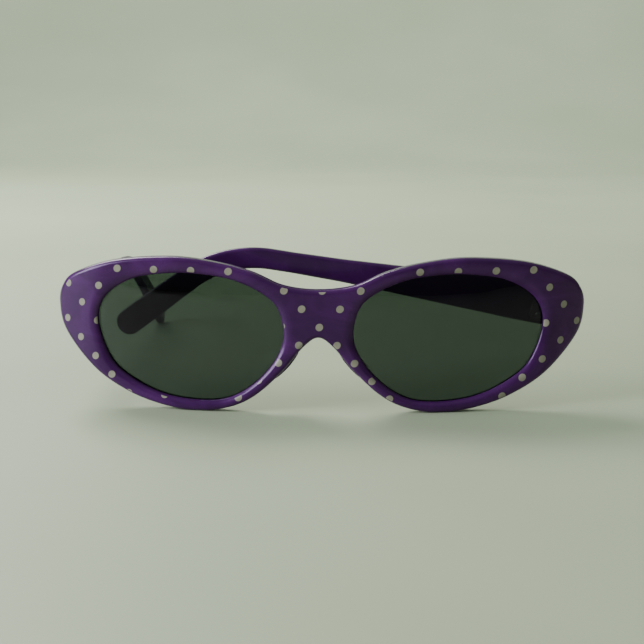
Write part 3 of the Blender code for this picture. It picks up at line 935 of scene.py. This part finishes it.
# ---------------------------------------------------------------- fixings


def rivet_profile():
    """A low dome with a small flat on top, and the shank below it."""
    dome = []
    for step in range(RIVET_STEPS + 1):
        angle = math.pi / 2 * step / RIVET_STEPS
        radius = RIVET_HEAD * (RIVET_FLAT + (1.0 - RIVET_FLAT) * math.sin(angle))
        dome.append((radius, RIVET_FOOT + (RIVET_HEAD_HIGH - RIVET_FOOT) * math.cos(angle)))
    return (*dome, (RIVET_HEAD, HEAD_LIP), (RIVET_SHANK, HEAD_LIP), (RIVET_SHANK, -RIVET_LONG))


def rivet_bore(surface, out):
    profile = ((RIVET_BORE, 1.0), (RIVET_BORE, -RIVET_LONG - POCKET_GAP))
    return add_object("bore", turned_bmesh(profile, surface, out), None)


def screw_profile():
    """A flat head with a rounded edge, and a shank through the barrels to a blunt point."""
    top = BARREL_HALF_HIGH + SCREW_SEAT
    tip = BARREL_HALF_HIGH - SCREW_SHORT
    crown = []
    for step in range(SCREW_STEPS + 1):
        angle = math.pi / 2 * step / SCREW_STEPS
        radius = SCREW_HEAD - SCREW_ROUND * (1.0 - math.sin(angle))
        crown.append((radius, top + SCREW_HEAD_HIGH - SCREW_ROUND * (1.0 - math.cos(angle))))
    head = (*crown, (SCREW_HEAD, top + HEAD_LIP), (SCREW_HEAD - HEAD_LIP, top))
    point = (SCREW_TIP * SCREW_SHANK, -tip - SCREW_TIP_LONG)
    return (*head, (SCREW_SHANK, top), (SCREW_SHANK, -tip), point)


def build_side(side, word, pin_m, folded, materials):
    """Everything on one side but the front itself. Gives the shapes to cut out of the front."""
    hinge = HingeFrame(side, pin_m, folded)
    body = f"{word}_temple"
    lens = add_object(f"tinted_lens_{word}", lens_bmesh(side), 50.0)
    give(lens, materials["lens"], "tinted_lens", "front", f"lens_{word}")
    pad = add_object(f"bridge_pad_{word}", pad_bmesh(side), 50.0)
    give(pad, materials["pad"], "front_acetate", "front", f"nose_pad_{word}")

    plate, pocket, out = wing_leaf_lines()
    pocket_tall = BARREL_HALF_HIGH + POCKET_GAP
    front_cuts = [
        add_object("pocket", box_bmesh(pocket, -pocket_tall, pocket_tall, hinge.front_point), None)
    ]
    wing_leaf = add_object(
        f"wing_leaf_{word}",
        leaf_bmesh(
            plate, (AXIS_X, hinge.pin.y), *WING_LEAF_WRAP, (0, 2, 4), hinge.front_point
        ),
    )
    out_x = (LEAF_INNER_X + LEAF_END_X) / 2
    on_back = Vector((out_x, back_face_y(out_x))) + LEAF_PROUD * out
    out_world = out.x * hinge.across + out.y * hinge.back
    leaf_cuts = []
    for level, place in ((RIVET_UP, "upper"), (-RIVET_UP, "lower")):
        surface = hinge.front_point(on_back.x, on_back.y, level)
        leaf_cuts.append(rivet_bore(surface, out_world))
        front_cuts.append(rivet_bore(surface, out_world))
        rivet = add_object(
            f"wing_rivet_{word}_{place}", turned_bmesh(rivet_profile(), surface, out_world)
        )
        give(rivet, materials["rivet"], "rivet_metal", "front", f"front_rivet_{word}_{place}")
    carve(wing_leaf, leaf_cuts)
    soften_edges(wing_leaf, METAL_EDGE)
    give(wing_leaf, materials["hinge"], "hinge_metal", "front", f"front_hinge_{word}")

    arm = add_object(f"arm_{word}", temple_bmesh(hinge), 40.0)
    low_u, high_u, low_w, high_w = TEMPLE_LEAF
    leaf_plate = ((low_u, high_w), (low_u, low_w), (high_u, low_w), (high_u, high_w))
    arm_leaf = add_object(
        f"arm_leaf_{word}",
        leaf_bmesh(
            leaf_plate, (0, 0), *TEMPLE_LEAF_WRAP, (1, 3), hinge.temple_point
        ),
    )
    deep = high_w + POCKET_GAP
    far = high_u + POCKET_GAP
    slot = ((SLOT_START, 0.0), (far, 0.0), (far, deep), (SLOT_START, deep))
    arm_cuts = [
        add_object("slot", box_bmesh(slot, -pocket_tall, pocket_tall, hinge.temple_point), None)
    ]
    leaf_cuts = []
    for level, place in ((RIVET_UP, "upper"), (-RIVET_UP, "lower")):
        surface = hinge.temple_point(TEMPLE_RIVET_ALONG, low_w, level)
        leaf_cuts.append(rivet_bore(surface, -hinge.outward))
        arm_cuts.append(rivet_bore(surface, -hinge.outward))
        rivet = add_object(
            f"arm_rivet_{word}_{place}", turned_bmesh(rivet_profile(), surface, -hinge.outward)
        )
        give(rivet, materials["rivet"], "rivet_metal", body, f"temple_rivet_{word}_{place}")
    carve(arm_leaf, leaf_cuts)
    soften_edges(arm_leaf, METAL_EDGE)
    give(arm_leaf, materials["hinge"], "hinge_metal", body, f"temple_hinge_{word}")
    carve(arm, arm_cuts)
    give(arm, materials["arm"], "temple_acetate", body, f"temple_{word}")

    screw = add_object(f"screw_{word}", turned_bmesh(screw_profile(), hinge.pin, hinge.up))
    half = SCREW_SLOT / 2
    far = CUT_BEYOND
    corners = ((-far, -half), (far, -half), (far, half), (-far, half))
    head_middle = BARREL_HALF_HIGH + SCREW_SEAT + 0.5 * SCREW_HEAD_HIGH
    slot_bm = box_bmesh(
        corners, head_middle, head_middle + CUT_BEYOND,
        lambda p, q, h: hinge.pin + p * hinge.across + q * hinge.back + h * hinge.up,
    )
    carve(screw, [add_object("slot", slot_bm, None)])
    soften_edges(screw, SCREW_SOFT_EDGE)
    give(screw, materials["screw"], "screw_metal", "front", f"hinge_screw_{word}")
    return front_cuts


# ---------------------------------------------------------------- stage


def add_area(name, place, target, size, power, color):
    lamp = bpy.data.lights.new(name, "AREA")
    lamp.shape = "RECTANGLE"
    lamp.size, lamp.size_y = (length * MM for length in size)
    lamp.energy = power
    lamp.color = color
    made = bpy.data.objects.new(name, lamp)
    made.location = (Vector(place) + Vector((0.0, FRONT_Y, 0.0))) * MM
    aim = Vector(target) - Vector(place)
    made.rotation_euler = aim.to_track_quat("-Z", "Y").to_euler()
    bpy.context.scene.collection.objects.link(made)


def add_stage():
    """A pale floor that curves up far behind the glasses."""
    bm = bmesh.new()
    profile = [(y, 0.0) for y in FLOOR_FLAT]
    for step in range(1, FLOOR_STEPS + 1):
        angle = math.pi / 2 * step / FLOOR_STEPS
        y = FLOOR_FLAT[-1] + FLOOR_BEND * math.sin(angle)
        profile.append((y, FLOOR_BEND * (1.0 - math.cos(angle))))
    profile.append((FLOOR_FLAT[-1] + FLOOR_BEND, FLOOR_TOP))
    columns = (-FLOOR_HALF_WIDE, 0.0, FLOOR_HALF_WIDE)
    rows = [[bm.verts.new((x, y, z - FLOOR_DROP)) for x in columns] for y, z in profile]
    for first, second in zip(rows, rows[1:]):
        for i in (0, 1):
            bm.faces.new((first[i], first[i + 1], second[i + 1], second[i]))
    stage = add_object("floor", bm, 60.0)
    stage.data.materials.append(floor_material())


def add_world():
    """Soft light from above, dim at the horizon, and an even pale backdrop where it is seen."""
    world = bpy.data.worlds.new("studio")
    world.use_nodes = True
    tree = world.node_tree
    light = tree.nodes["Background"]
    direction = tree.nodes.new("ShaderNodeTexCoord").outputs["Generated"]
    split = tree.nodes.new("ShaderNodeSeparateXYZ")
    tree.links.new(direction, split.inputs[0])
    fade = tree.nodes.new("ShaderNodeValToRGB")
    tree.links.new(split.outputs[2], fade.inputs["Fac"])
    for stop, color in zip(fade.color_ramp.elements, (SKY_HORIZON, SKY_ABOVE)):
        stop.color = color
    tree.links.new(fade.outputs["Color"], light.inputs["Color"])
    seen = tree.nodes.new("ShaderNodeBackground")
    seen.inputs["Color"].default_value = SKY_SEEN
    ray = tree.nodes.new("ShaderNodeLightPath")
    looked_at = tree.nodes.new("ShaderNodeMath")
    looked_at.operation = "MAXIMUM"
    tree.links.new(ray.outputs["Is Camera Ray"], looked_at.inputs[0])
    tree.links.new(ray.outputs["Is Transmission Ray"], looked_at.inputs[1])
    blend = tree.nodes.new("ShaderNodeMixShader")
    tree.links.new(looked_at.outputs[0], blend.inputs[0])
    tree.links.new(light.outputs[0], blend.inputs[1])
    tree.links.new(seen.outputs[0], blend.inputs[2])
    tree.links.new(blend.outputs[0], tree.nodes["World Output"].inputs["Surface"])
    bpy.context.scene.world = world


def add_camera():
    lens = bpy.data.cameras.new("camera")
    lens.lens = CAMERA_LENS
    lens.sensor_width = 36.0
    lens.clip_start = 0.01
    made = bpy.data.objects.new("camera", lens)
    shift = Vector((0.0, FRONT_Y, 0.0))
    made.location = (Vector(CAMERA_AT) + shift) * MM
    aim = Vector(CAMERA_TO) - Vector(CAMERA_AT)
    made.rotation_euler = aim.to_track_quat("-Z", "Y").to_euler()
    bpy.context.scene.collection.objects.link(made)
    bpy.context.scene.camera = made


# ---------------------------------------------------------------- making everything

materials = {
    "front": acetate("dotted_acetate", True),
    "arm": acetate("plain_acetate", False),
    "pad": acetate("pad_acetate", False),
    "lens": tinted_lens("grey_green_lens"),
}
materials.update({word: metal(*finish) for word, finish in METALS.items()})
pins = {joint["name"]: joint["pos_m"] for joint in frame["joints"]}
front = add_object("front_with_rims", front_bmesh(), 40.0)
cuts = build_side(1, "left", pins["left_temple_hinge"], True, materials)
cuts += build_side(-1, "right", pins["right_temple_hinge"], False, materials)
carve(front, cuts)
give(front, materials["front"], "front_acetate", "front", "front_frame")
for word in ("left", "right"):
    core = frame["nodes"][f"temple_core_{word}"]
    core.data.materials.clear()
    core.data.materials.append(materials["wire"])

add_stage()
add_world()
for word, lamp in LAMPS.items():
    add_area(word, *lamp)
add_camera()
